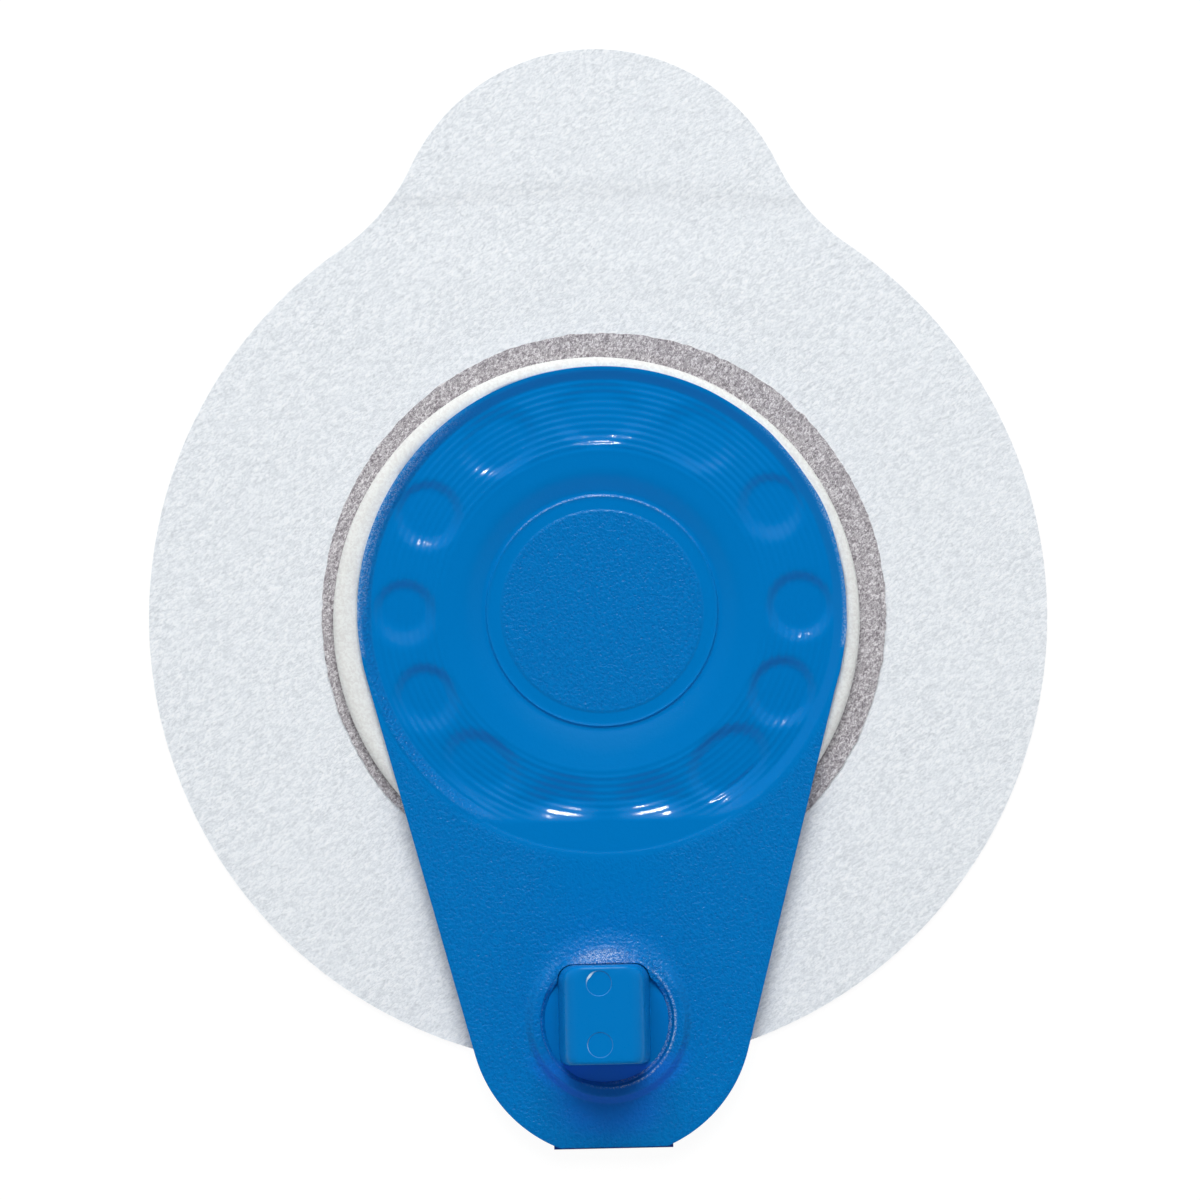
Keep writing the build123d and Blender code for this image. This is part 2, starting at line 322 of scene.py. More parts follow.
def filmMaterial():
    material, tree, shader, coords = startMaterial("blue formed film", blueFilm["tone"], 0.2, 0.12)
    grain = fillGroup(tree, pebbleGrain, coords["Object"], blueFilm["grain"])
    mask = place(tree, "ShaderNodeAttribute", attribute_name="grain").outputs["Fac"]
    paintedShade = place(tree, "ShaderNodeAttribute", attribute_name="paintedShade").outputs["Fac"]
    cut = place(tree, "ShaderNodeAttribute", attribute_name="cut").outputs["Fac"]
    shade = stretchRange(tree, grain["Height"], 0.25, 0.6, 1.0, 0.0)
    shade = mathNode(tree, "MULTIPLY", shade, mask)
    tone = mixColour(tree, shade, (*blueFilm["tone"], 1), (*blueFilm["deep"], 1))
    # painted shade: a deeper violet on slopes facing away from the light and in the block's shadow
    tone = mixColour(tree, paintedShade, tone, (*blueFilm["paintedShade"], 1))
    # painted highlights on cut edges and rims, broken into flecks, and a painted shadow in the gap inside the
    # hole's edge
    flecks = fillGroup(tree, pebbleGrain, coords["Object"], blueFilm["fleck"])
    broken = stretchRange(tree, flecks["Fine"], 0.49, 0.60, 0.04, 1.0)
    paintedGlints = mathNode(tree, "MULTIPLY", stretchRange(tree, cut, 0.0, 1.0, 0.0, 1.0), broken)
    tone = mixColour(tree, paintedGlints, tone, (*blueFilm["paintedHighlight"], 1))
    tone = mixColour(tree, stretchRange(tree, cut, 0.0, -1.0, 0.0, 1.0), tone, (*blueFilm["gap"], 1))
    tree.links.new(tone, shader.inputs["Base Color"])
    dull = stretchRange(tree, mask, 0.0, 1.0, 0.12, 0.27)
    keen = stretchRange(tree, mask, 1.0, 2.0, 0.0, 0.08)
    tree.links.new(mathNode(tree, "SUBTRACT", dull, keen), shader.inputs["Roughness"])
    height = mathNode(tree, "MULTIPLY", grain["Height"], mask)
    useBump(tree, shader, height, 0.9, blueFilm["grainDepth"])
    return material


# the violet tone is painted shade on the flange, the rim tone a painted highlight on the marks' rims
bluePlastic = {"tone": (0.0, 0.192, 0.56), "paintedShade": (0.02, 0.20, 0.95), "rim": (0.62, 0.80, 0.95),
               "paintedShadeFrom": 2.7, "paintedShadeFull": 3.1, "paintedShadeHeight": 0.3}


# painted shade: the flange in front of the mouth lies in the block's shade, so it is painted more violet
# there
def plasticMaterial():
    material, tree, shader, coords = startMaterial("blue moulding", bluePlastic["tone"], 0.3, 0.08)
    grain = fillGroup(tree, pebbleGrain, coords["Object"], 6000)
    spot = place(tree, "ShaderNodeSeparateXYZ", {0: coords["Object"]}).outputs
    start, full = tailMiddle.y - bluePlastic["paintedShadeFrom"], tailMiddle.y - bluePlastic["paintedShadeFull"]
    ahead = stretchRange(tree, spot[1], start * mm, full * mm, 0.0, 1.0)
    high = flangeTop + bluePlastic["paintedShadeHeight"]
    low = stretchRange(tree, spot[2], high * mm, flangeTop * mm, 0.0, 1.0)
    shaded = mathNode(tree, "MULTIPLY", ahead, low)
    tone = mixColour(tree, shaded, (*bluePlastic["tone"], 1), (*bluePlastic["paintedShade"], 1))
    tree.links.new(tone, shader.inputs["Base Color"])
    rough = stretchRange(tree, grain["Fine"], 0.3, 0.7, 0.26, 0.4)
    tree.links.new(rough, shader.inputs["Roughness"])
    useBump(tree, shader, grain["Fine"], 0.15, 0.02)
    return material


# rims of the marks on the block's roof, with a painted highlight where they catch the light
def rimMaterial():
    material, tree, shader, coords = startMaterial("mark rim", bluePlastic["tone"], 0.3, 0.08)
    paintedHighlight = place(tree, "ShaderNodeAttribute", attribute_name="paintedHighlight").outputs["Fac"]
    tone = mixColour(tree, paintedHighlight, (*bluePlastic["tone"], 1), (*bluePlastic["rim"], 1))
    tree.links.new(tone, shader.inputs["Base Color"])
    return material


strip = {"face": (0.01, 0.07, 0.36), "coat": (0.38, 0.40, 0.43)}


def stripMaterial():
    material, tree, shader, coords = startMaterial("coated strip", strip["face"], 0.4, 0.4)
    grain = fillGroup(tree, pebbleGrain, coords["Object"], 5000)
    facing = place(tree, "ShaderNodeSeparateXYZ", {0: coords["Normal"]}).outputs[2]
    under = stretchRange(tree, facing, -0.3, -0.7, 0.0, 1.0)
    tone = mixColour(tree, under, (*strip["face"], 1), (*strip["coat"], 1))
    tree.links.new(tone, shader.inputs["Base Color"])
    useBump(tree, shader, grain["Fine"], 0.2, 0.02)
    return material


def clearFilmMaterial():
    material, tree, shader, coords = startMaterial("grip film", (0.78, 0.79, 0.80), 0.3, 0.5)
    grain = fillGroup(tree, pebbleGrain, coords["Object"], 900)
    rough = stretchRange(tree, grain["Fine"], 0.3, 0.7, 0.22, 0.4)
    tree.links.new(rough, shader.inputs["Roughness"])
    return material


def stiffenerMaterial():
    material, tree, shader, coords = startMaterial("plain sheet", (0.75, 0.75, 0.75), 0.5, 0.4)
    grain = fillGroup(tree, pebbleGrain, coords["Object"], 3000)
    rough = stretchRange(tree, grain["Fine"], 0.3, 0.7, 0.42, 0.6)
    tree.links.new(rough, shader.inputs["Roughness"])
    return material


def metalMaterial():
    material, tree, shader, coords = startMaterial("plated sleeve", (0.66, 0.64, 0.60), 0.28, 0.5)
    shader.inputs["Metallic"].default_value = 1.0
    drawn = place(tree, "ShaderNodeMapping", {"Vector": coords["Object"], "Scale": (1, 0.06, 1)}).outputs[0]
    lines = fillGroup(tree, laidFibres, drawn, 9000)
    rough = stretchRange(tree, lines["Fibres"], 0.3, 0.7, 0.18, 0.4)
    tree.links.new(rough, shader.inputs["Roughness"])
    return material


print("finishes ready")


# adhesive pad: a round sheet with a grip lobe, and a step over the edge of the grip strip
pad = {"radius": 27.8, "middle": (-0.24, -0.40), "lobe": 12.56, "lobeMiddle": (-0.45, 22.22), "corner": 13.0,
       "window": 10.0, "thickness": 0.35, "steps": 480, "rings": 46,
       "creaseEnds": 25.3, "creaseBow": 0.75, "creaseSpan": 12.2, "creaseWidth": 0.5, "lift": 0.10,
       "sway": 0.10, "swaySize": 13, "swaySeed": 3.1, "swayStart": 0.4, "swayFull": 4.4, "lobeFoot": (20, 24)}


def rayToCircle(ray, middle, radius, side):
    along = middle.dot(ray)
    return along + side * math.sqrt(max(0.0, along * along - middle.length_squared + radius * radius))


def padOutline():
    middle, lobeMiddle = Vector(pad["middle"]), Vector(pad["lobeMiddle"])
    line = lobeMiddle - middle
    toCorner = pad["radius"] + pad["corner"]
    fromLobe = pad["lobe"] + pad["corner"]
    along = (toCorner**2 - fromLobe**2 + line.length_squared) / (2 * line.length)
    aside = math.sqrt(toCorner**2 - along**2)
    forward = line.normalized()
    corners = []
    for side in (-1, 1):
        corner = middle + forward * along + Vector((-forward.y, forward.x)) * side * aside
        touches = [middle + (corner - middle).normalized() * pad["radius"],
                   lobeMiddle + (corner - lobeMiddle).normalized() * pad["lobe"]]
        angles = sorted(math.atan2(p.y, p.x) for p in touches)
        corners.append((corner, angles))

    def reach(angle):
        ray = Vector((math.cos(angle), math.sin(angle)))
        for corner, angles in corners:
            if angles[0] <= angle <= angles[1]:
                return rayToCircle(ray, corner, pad["corner"], -1)
        far = rayToCircle(ray, middle, pad["radius"], 1)
        if angle > 0 and (lobeMiddle.dot(ray)) ** 2 - lobeMiddle.length_squared + pad["lobe"] ** 2 > 0:
            far = max(far, rayToCircle(ray, lobeMiddle, pad["lobe"], 1))
        return far

    return reach


def creaseLine(x):
    return pad["creaseEnds"] + pad["creaseBow"] * (1 - smooth(0.25, 1.0, abs(x) / pad["creaseSpan"]))


def makePad():
    bm = bmesh.new()
    start = pad["window"]
    span = pad["radius"]
    points = [(start + span * i / pad["rings"], 0, pad["thickness"]) for i in range(pad["rings"] + 1)]
    spinRound(bm, points, pad["steps"])
    reach = padOutline()
    webEdge = boxMm("bonding_ring")[1].x
    for vert in bm.verts:
        angle = math.atan2(vert.co.y, vert.co.x)
        share = (vert.co.xy.length - start) / span
        radius = start + share * (reach(angle) - start)
        x, y = radius * math.cos(angle), radius * math.sin(angle)
        lifted = smooth(-pad["creaseWidth"] / 2, pad["creaseWidth"] / 2, y - creaseLine(x)) * pad["lift"]
        free = smooth(webEdge + pad["swayStart"], webEdge + pad["swayFull"], radius)
        free *= 1 - smooth(*pad["lobeFoot"], y)
        sway = pad["sway"] * (0.5 + 0.5 * ripple(x, y, pad["swaySize"], pad["swaySeed"]))
        vert.co = (x, y, pad["thickness"] + lifted + sway * free)
    area = sum(face.calc_area() for face in bm.faces) * mm * mm
    thicken(bm, pad["thickness"])
    for face in bm.faces:
        face.material_index = int(face.normal.z < -0.5)
    finishes = [nonwovenMaterial(), adhesiveMaterial()]
    piece = addPiece("backingPad", bm, finishes, "backing_pad")
    piece.data.set_sharp_from_angle(angle=math.radians(50))
    print("pad", round(area * 1e6), "square mm")


# bonding web: a thin grey ring with a torn edge, on the pad and under the foam
webRing = {"radius": 17.46, "middle": (0.12, -0.25), "window": 10.0, "thickness": 0.10, "steps": 400,
           "rings": 24, "torn": 0.09, "tornSize": 0.45, "tornSeed": 7.7, "tornFrom": 0.8}


def makeWeb():
    bm = bmesh.new()
    start, rings = webRing["window"], webRing["rings"]
    span = webRing["radius"] - start
    spinRound(bm, [(start + span * i / rings, 0, webTop) for i in range(rings + 1)], webRing["steps"])
    for vert in bm.verts:
        share = (vert.co.xy.length - start) / span
        torn = webRing["torn"] * ripple(vert.co.x, vert.co.y, webRing["tornSize"], webRing["tornSeed"])
        torn *= smooth(webRing["tornFrom"], 1.0, share)
        vert.co.xy *= 1 + torn / vert.co.xy.length
        vert.co.xy += Vector(webRing["middle"]) * share
    area = sum(face.calc_area() for face in bm.faces) * mm * mm
    thicken(bm, webRing["thickness"])
    piece = addPiece("bondingWeb", bm, [webMaterial()], "bonding_ring")
    piece.data.set_sharp_from_angle(angle=math.radians(50))


# cover film: ringed dish with dimples in the head, then the tongue with its collar
film = {"thickness": 0.35, "head": 15.15, "tail": 8.73, "reach": 25.1, "end": 33.17, "neck": 17.2,
        "steps": 288, "neckRows": 10, "tailRows": 5, "edge": 0.05,
        "sway": 0.02, "swaySize": 5.0, "swaySeed": 1.3,
        "wave": 0.10, "waveSize": 2.2, "waveSeed": 9.4, "waveFrom": (5, 12), "waveSouth": -4}
dish = {"disc": 6.2, "ledge": 7.12, "valley": 7.4, "knee": 8.6, "crest": 10.1, "band": 14.35, "wall": 14.95,
        "innerStep": 0.12, "outerStep": 0.10, "discTop": 1.23, "ledgeTop": 1.21, "valleyTop": 1.13,
        "kneeTop": 1.45, "crestTop": 1.60, "bandTop": 1.30, "bead": 0.04, "beadWidth": 0.07, "tilt": 0.06,
        "tightEase": 0.03, "wideEase": 0.27, "wideFrom": (7.5, 8.2), "wideTo": (13.2, 13.9),
        "wallEase": 0.09, "wallFrom": (13.9, 14.3), "rings": 10, "ringHeight": 0.042, "ringFade": 0.1}
dimples = {"ring": 12.225, "radius": 2.25, "upper": 7, "lower": 6, "inward": 0.7, "ringLoss": 0.3,
           "depth": [0.31, 0.28, 0.20, 0.22, 0.24, 0.30, 0.30, 0.31, 0.30, 0.32, 0.32, 0.31, 0.32],
           "north": [0.62, 0.62, 1.1, 1.2, 1.1, 0.62, 0.62, 0.62, 0.8, 1.9, 1.9, 0.8, 0.62],
           "south": [0.95, 1.4, 1.0, 0.9, 0.9, 1.0, 1.6, 1.6, 1.6, 1.0, 1.0, 0.95, 1.0],
           "stretch": [1.0, 1.0, 1.2, 1.4, 1.25, 1.0, 1.0, 1.05, 1.35, 1.15, 1.15, 1.35, 1.05]}
creases = {"places": [(231, 13.7), (309, 13.5)], "depth": 0.06, "span": 9, "width": 0.16}
ramp = {"foot": 11.75, "top": 12.95, "high": 1.555, "crescent": 0.05, "crease": 0.02, "creaseHalf": 0.1,
        "even": 0.6, "lastStep": (14.85, 15.1)}
collar = {"inner": 3.70, "low": 3.98, "edge": 4.08, "lip": 4.18, "crown": 4.62, "foot": 5.2, "outer": 6.4,
          "rim": 0.17, "rimFoot": 0.02, "narrow": 3.92, "byBlock": 3.2, "gap": 0.03,
          "steep": 0.30, "steepSpan": (3.5, 4.7), "easy": 0.22, "easySpan": (4.0, 5.8)}
filmTop = foamTop + film["thickness"]
collarTop = boxMm("cover_film")[1].z
flangeTop = collarTop - film["thickness"]
housingLow, housingHigh = boxMm("socket_housing")
tailMiddle = Vector((0, -film["reach"], 0))
holeMiddle = tailMiddle + Vector((-0.16, -0.25, 0))
eastward = Vector((0.94, -0.34))
lean = math.asin((film["head"] - film["tail"]) / film["reach"])


def dishStations():
    return [
        (0, dish["discTop"]), (dish["disc"], dish["discTop"]),
        (dish["disc"] + dish["innerStep"], dish["ledgeTop"]), (dish["ledge"], dish["ledgeTop"]),
        (dish["ledge"] + dish["outerStep"], dish["valleyTop"]), (dish["valley"], dish["valleyTop"]),
        (dish["knee"], dish["kneeTop"]), (dish["crest"], dish["crestTop"]), (dish["band"], dish["bandTop"]),
        (dish["wall"], filmTop), (film["head"] + 1, filmTop),
    ]


stations = dishStations()


def stationHeight(radius):
    for (r0, z0), (r1, z1) in zip(stations, stations[1:]):
        if radius <= r1:
            return z0 + (z1 - z0) * (radius - r0) / (r1 - r0)
    return stations[-1][1]


# the drawn corners are rounded: tightly at the disc's steps, widely at the crest
def cornerEase(radius):
    wide = smooth(*dish["wideFrom"], radius) * (1 - smooth(*dish["wideTo"], radius))
    return dish["tightEase"] + dish["wideEase"] * wide + dish["wallEase"] * smooth(*dish["wallFrom"], radius)


def plainDish(radius):
    ease = cornerEase(radius)
    spread = [-1, -0.5, 0, 0.5, 1]
    bead = dish["bead"] * math.exp(-(((radius - dish["ledge"]) / dish["beadWidth"]) ** 2))
    return sum(stationHeight(abs(radius + s * ease)) for s in spread) / len(spread) + bead


ringPitch = (dish["band"] - dish["crest"]) / dish["rings"]


# rings stand out most at the top and the bottom of the dish
def ringLift(radius, y):
    inside = smooth(dish["crest"] - ringPitch, dish["crest"], radius)
    inside *= 1 - smooth(dish["band"] - dish["ringFade"], dish["band"] + dish["ringFade"], radius)
    inside *= 0.5 + 0.5 * abs(y) / max(radius, 1.0)
    wave = math.cos(2 * math.pi * (radius - dish["crest"]) / ringPitch)
    return -dish["ringHeight"] / 2 * wave * inside


def dimpleAngles():
    upper = [180 * i / (dimples["upper"] - 1) for i in range(dimples["upper"])]
    pitch = 180 / (dimples["lower"] + 1)
    return upper + [180 + pitch * (i + 1) for i in range(dimples["lower"])]


dimpleMiddles = [
    Vector((math.cos(math.radians(a)), math.sin(math.radians(a)))) * dimples["ring"] for a in dimpleAngles()
]


# how far a point lies in the nearest dimple, steep on the north side and easier on the south side
def dimpleShare(point):
    index = min(range(len(dimpleMiddles)), key=lambda i: (point - dimpleMiddles[i]).length)
    outward = dimpleMiddles[index].normalized()
    offset = point - dimpleMiddles[index]
    around = Vector((-outward.y, outward.x))
    offset = outward * offset.dot(outward) + around * offset.dot(around) / dimples["stretch"][index]
    distance = max(offset.length, 1e-6)
    southing = (1 - offset.y / distance) / 2
    north, south = dimples["north"][index], dimples["south"][index]
    wall = north + (south - north) * southing
    return index, 1 - smooth(dimples["radius"] - wall, dimples["radius"], distance)


# long wrinkles beside two of the lower dimples
def creaseDrop(x, y, radius):
    total = 0.0
    for degrees, middle in creases["places"]:
        aside = (math.degrees(math.atan2(y, x)) % 360 - degrees) / creases["span"]
        outward = (radius - middle) / creases["width"]
        total += creases["depth"] * math.exp(-(aside**2) - outward**2)
    return total


# from the chord the film rises over a broad foot to a gentle crescent, then by a small step to the tongue
def rampHeight(radius, along):
    gentle = ramp["high"] + ramp["crescent"] * smooth(ramp["foot"], film["head"], along)
    return gentle + (filmTop - ramp["high"] - ramp["crescent"]) * smooth(*ramp["lastStep"], radius)


def filmHeight(x, y):
    radius = math.hypot(x, y)
    height = plainDish(radius)
    knee = smooth(dish["valley"], dish["knee"], radius) * (1 - smooth(dish["knee"], dish["crest"], radius))
    height += dish["tilt"] * knee * y / max(radius, 1.0)
    if dish["crest"] - dimples["inward"] < radius < film["head"]:
        index, share = dimpleShare(Vector((x, y)))
        height -= dimples["depth"][index] * share + creaseDrop(x, y, radius)
        height += ringLift(radius, y) * (1 - dimples["ringLoss"] * share)
    if y < -ramp["foot"] + 2 * ramp["creaseHalf"]:
        even = min(1.0, max(0.0, (-y - ramp["foot"]) / (ramp["top"] - ramp["foot"])))
        share = ramp["even"] * even + (1 - ramp["even"]) * smooth(0, 1, even)
        height += (rampHeight(radius, -y) - height) * share
        half = ramp["creaseHalf"]
        height += ramp["crease"] * smooth(ramp["foot"] - half, ramp["foot"] + half, -y) * (1 - share)
    return height


# radii of the rows, from stops that give a radius and the number of rows up to the next stop
def rowRadii(stops):
    radii = []
    for (start, count), (end, _) in zip(stops, stops[1:]):
        radii += [start + (end - start) * i / count for i in range(count)]
    return radii + [stops[-1][0]]


def dishRadii():
    steps = [(0, 6), (6.12, 7), (6.4, 4), (7.06, 10), (7.28, 3), (7.5, 9)]
    band = [(dish["crest"] - ringPitch, 4), (dish["crest"], dish["rings"] * 5), (dish["band"], 11)]
    return rowRadii(steps + band + [(film["head"], 0)])


def arcPoints(middle, radius, first, last, count):
    angles = [first + (last - first) * i / count for i in range(count)]
    return [middle + Vector((math.cos(a), math.sin(a), 0)) * radius for a in angles]


def linePoints(first, last, count):
    return [first.lerp(last, i / count) for i in range(count)]


# the neck runs from the head's lower rim down to a straight chord across the tongue
def makeNeck(bm):
    side = Vector((math.cos(lean), -math.sin(lean), 0))
    first, last = side * film["head"], tailMiddle + side * film["tail"]
    share = (-film["neck"] - first.y) / (last.y - first.y)
    half = first.lerp(last, share).x
    lower = [e for e in bm.edges if e.is_boundary and all(v.co.y <= first.y for v in e.verts)]
    grown = bmesh.ops.extrude_edge_only(bm, edges=lower)["geom"]
    chord = [g for g in grown if isinstance(g, bmesh.types.BMVert)]
    chord.sort(key=lambda v: -v.co.x)
    known = set(chord)
    rows = [e for v in chord for e in v.link_edges if e.other_vert(v) not in known]
    for i, vert in enumerate(chord):
        vert.co = (half * (1 - 2 * i / (len(chord) - 1)), -film["neck"], filmTop)
    points = [v.co.copy() for v in chord]
    bmesh.ops.subdivide_edges(bm, edges=rows, cuts=film["neckRows"])
    return points


# outline of the tail: the chord, down the left side, round the end and up the right side
def tailOutline(chord):
    cut = math.asin((film["end"] - film["reach"]) / film["tail"])
    left = arcPoints(tailMiddle, film["tail"], lean - math.pi, cut - math.pi, 44)
    right = arcPoints(tailMiddle, film["tail"], -cut, -lean, 44)
    leftCut = tailMiddle + Vector((-math.cos(cut), -math.sin(cut), 0)) * film["tail"]
    rightEnd = tailMiddle + Vector((math.cos(lean), -math.sin(lean), 0)) * film["tail"]
    end = linePoints(leftCut, right[0], 32)
    return (chord[:-1] + linePoints(chord[-1], left[0], 50) + left + end + right
            + linePoints(rightEnd, chord[0], 50))


def collarRadii():
    return rowRadii([
        (collar["inner"], 3), (collar["low"], 1), (collar["edge"], 2), (collar["lip"], 5),
        (collar["crown"], 9), (collar["foot"], 9), (collar["outer"], 0),
    ])


# inside the cut edge a thin rim is pressed on the flange; on the north side the film runs up to the block
def collarHeight(radius, northing):
    if radius < collar["edge"] - 1e-3:
        share = min(1.0, (radius - collar["inner"]) / (collar["low"] - collar["inner"]))
        plain = flangeTop + collar["rimFoot"] + (collar["rim"] - collar["rimFoot"]) * share
    else:
        plain = collarTop - (collarTop - filmTop) * smooth(collar["crown"], collar["foot"], radius)
    north = filmTop + collar["steep"] * (1 - smooth(*collar["steepSpan"], radius))
    north += collar["easy"] * (1 - smooth(*collar["easySpan"], radius))
    return plain + (north - plain) * smooth(0.35, 0.85, northing)


def clearOfBlock(direction, reach):
    while insideBlock(holeMiddle + direction * reach):
        reach += 0.02
    return reach + collar["gap"]


# the inner edge: on the north side close to the block, a broad rim in the east and a narrow one in the west
def innerReach(direction):
    east = smooth(-0.3, 0.5, direction.xy.dot(eastward))
    narrow = collar["narrow"]
    rim = clearOfBlock(direction, narrow + (collar["inner"] - narrow) * east)
    north = clearOfBlock(direction, collar["byBlock"])
    return rim + (north - rim) * smooth(0.66, 0.92, direction.y)


# the collar is spun round the hole, then its foot is drawn out to the outline of the tail
def makeTail(bm, outline):
    steps = len(outline)
    part = bmesh.new()
    spinRound(part, [(r, 0, filmTop) for r in collarRadii()], steps)
    foot = [e for e in part.edges if e.is_boundary and e.verts[0].co.xy.length > collar["outer"] - 1e-3]
    grown = bmesh.ops.extrude_edge_only(part, edges=foot)["geom"]
    edge = {g for g in grown if isinstance(g, bmesh.types.BMVert)}
    rows = [e for v in edge for e in v.link_edges if e.other_vert(v) not in edge]
    directions = [(p - holeMiddle).xy.normalized().to_3d() for p in outline]
    inners = [innerReach(d) for d in directions]
    for vert in part.verts:
        index = round(math.atan2(vert.co.y, vert.co.x) / (2 * math.pi) * steps) % steps
        radius = vert.co.xy.length
        if vert in edge:
            vert.co = (outline[index] - holeMiddle).xy.to_3d() + Vector((0, 0, filmTop))
            continue
        blend = max(smooth(0.5, 0.85, directions[index].y), smooth(3.85, 3.97, inners[index]))
        limit = collar["low"] + (collar["crown"] - collar["low"]) * blend
        drawn = radius
        if radius < limit:
            share = (radius - collar["inner"]) / (limit - collar["inner"])
            drawn = inners[index] + (limit - inners[index]) * share
        vert.co = directions[index] * drawn
        vert.co.z = collarHeight(radius, directions[index].y)
    bmesh.ops.subdivide_edges(part, edges=rows, cuts=film["tailRows"])
    bmesh.ops.translate(part, vec=holeMiddle, verts=part.verts[:])
    mesh = bpy.data.meshes.new("tail")
    part.to_mesh(mesh)
    part.free()
    bm.from_mesh(mesh)
    bpy.data.meshes.remove(mesh)
    bmesh.ops.remove_doubles(bm, verts=bm.verts[:], dist=2e-3)


# how strongly the pebbled grain shows: full on disc and tongue, sparkling by the block and the left wall
grainZones = {"faint": 0.10, "discEdge": (-0.1, 0.2), "tongueFrom": (14.9, 15.6),
              "strip": 0.5, "stripHalf": (1.5, 5.0), "stripFrom": (13, 16), "stripTo": (16, 20.5),
              "byBlock": 2.0, "byBlockTo": (4.5, 4.8), "byBlockNorth": (0.3, 0.75),
              "rim": 1.8, "rimTo": (3.95, 4.02),
              "wall": 1.7, "wallFrom": (14.2, 14.5), "wallTo": (14.9, 15.2), "wallWest": (5, 13)}


def grainShare(x, y):
    radius = math.hypot(x, y)
    spot = Vector((x, y)) - holeMiddle.xy
    fromHole = max(spot.length, 1e-6)
    zones = grainZones
    discLow, discHigh = (dish["disc"] + margin for margin in zones["discEdge"])
    onDisc = 1 - smooth(discLow, discHigh, radius)
    onStrip = (1 - smooth(*zones["stripHalf"], abs(x))) * smooth(*zones["stripFrom"], -y)
    onStrip *= 1 - smooth(*zones["stripTo"], -y)
    onTongue = smooth(*zones["tongueFrom"], radius) * (1 - zones["strip"] * onStrip)
    byBlock = (1 - smooth(*zones["byBlockTo"], fromHole)) * smooth(*zones["byBlockNorth"], spot.y / fromHole)
    onRim = 1 - smooth(*zones["rimTo"], fromHole)
    onWall = smooth(*zones["wallFrom"], radius) * (1 - smooth(*zones["wallTo"], radius))
    onWall *= smooth(*zones["wallWest"], -x)
    strong = max(zones["byBlock"] * byBlock, zones["rim"] * onRim, zones["wall"] * onWall)
    return max(onDisc, zones["faint"], onTongue, strong)


def bump(value, middle, width):
    return math.exp(-(((value - middle) / width) ** 2))


# painted highlights: the hole's cut edge, a little pale all round and brighter on its east side, glints
# behind the block, both flanks of the head, flecks on the left wall and a line on the disc's ledge; below
# zero, a painted shadow in the gap inside the cut edge
paintedLight = {"east": (0.1, 0.7), "north": (0.2, 0.6), "line": 0.06, "lineWidth": 0.05, "lineLeast": 0.15,
             "gap": 0.04, "gapWidth": 0.045, "gapLeast": 0.1, "rim": 0.5, "rimTo": (3.86, 3.96),
             "sparkle": 0.75, "sparkleTo": (4.25, 4.6), "sparkleWest": 0.35, "sparkleHalf": (0.48, 2.4),
             "bead": 0.8, "beadOut": 0.03, "beadWidth": 0.045, "beadNorth": (3.5, 7),
             "flank": 0.55, "flankSide": (0.55, 0.95), "flankSouth": -2.5, "flankFrom": (14.8, 15.1),
             "fleck": 0.32, "fleckFrom": (14.45, 14.75), "fleckWest": (7, 12), "fleckNorth": (-1, 2)}


def paintedHoleLight(spot, fromHole):
    white = paintedLight
    east = smooth(*white["east"], spot.dot(eastward) / fromHole)
    north = smooth(*white["north"], spot.y / fromHole)
    line = bump(fromHole, collar["edge"] + white["line"], white["lineWidth"])
    gap = bump(fromHole, collar["low"] + white["gap"], white["gapWidth"])
    rim = white["rim"] * east * (1 - smooth(*white["rimTo"], fromHole)) * (1 - north)
    sparkle = white["sparkle"] * north * (1 - smooth(*white["sparkleTo"], fromHole))
    sparkle *= 1 - smooth(*white["sparkleHalf"], abs(spot.x + white["sparkleWest"]))
    lineShare = white["lineLeast"] + (1 - white["lineLeast"]) * east
    gapShare = white["gapLeast"] + (1 - white["gapLeast"]) * east
    return max(lineShare * line, rim, sparkle) - gapShare * gap * (1 - north)


def paintedLightShare(x, y):
    white = paintedLight
    radius = math.hypot(x, y)
    spot = Vector((x, y)) - holeMiddle.xy
    if spot.length < collar["crown"]:
        return paintedHoleLight(spot, spot.length)
    bead = white["bead"] * bump(radius, dish["ledge"] + white["beadOut"], white["beadWidth"])
    bead *= smooth(*white["beadNorth"], y)
    flank = white["flank"] * smooth(*white["flankSide"], abs(x) / max(radius, 1e-6))
    flank *= smooth(*white["flankFrom"], radius) * (y > white["flankSouth"])
    fleck = white["fleck"] * smooth(*white["fleckFrom"], radius)
    fleck *= smooth(*white["fleckWest"], -x) * smooth(*white["fleckNorth"], y)
    return max(flank, fleck, bead)


# painted shade: slopes that face away from the light, and most of all the block's shadow to the south, are
# painted more violet
shade = {"slope": (0.10, 0.50), "any": 0.2, "ahead": 0.7, "aheadTo": (4.7, 6.0), "aheadSouth": (1.5, 3.2),
         "below": 0.6, "belowTo": (6.0, 8.0), "belowSouth": (2.5, 4.0), "belowHalf": (1.5, 4.5),
         "nearTo": (5.2, 6.0), "nearNorth": (0.0, 2.0)}


def paintedShadeShare(point, normal):
    spot = point.xy - holeMiddle.xy
    slope = smooth(*shade["slope"], -normal.y)
    ahead = (1 - smooth(*shade["aheadTo"], spot.length)) * smooth(*shade["aheadSouth"], -spot.y)
    below = (1 - smooth(*shade["belowTo"], spot.length)) * smooth(*shade["belowSouth"], -spot.y)
    below *= 1 - smooth(*shade["belowHalf"], abs(spot.x))
    near = slope * (1 - smooth(*shade["nearTo"], spot.length)) * (1 - smooth(*shade["nearNorth"], spot.y))
    return max(shade["any"] * slope, shade["ahead"] * ahead, shade["below"] * below, near)


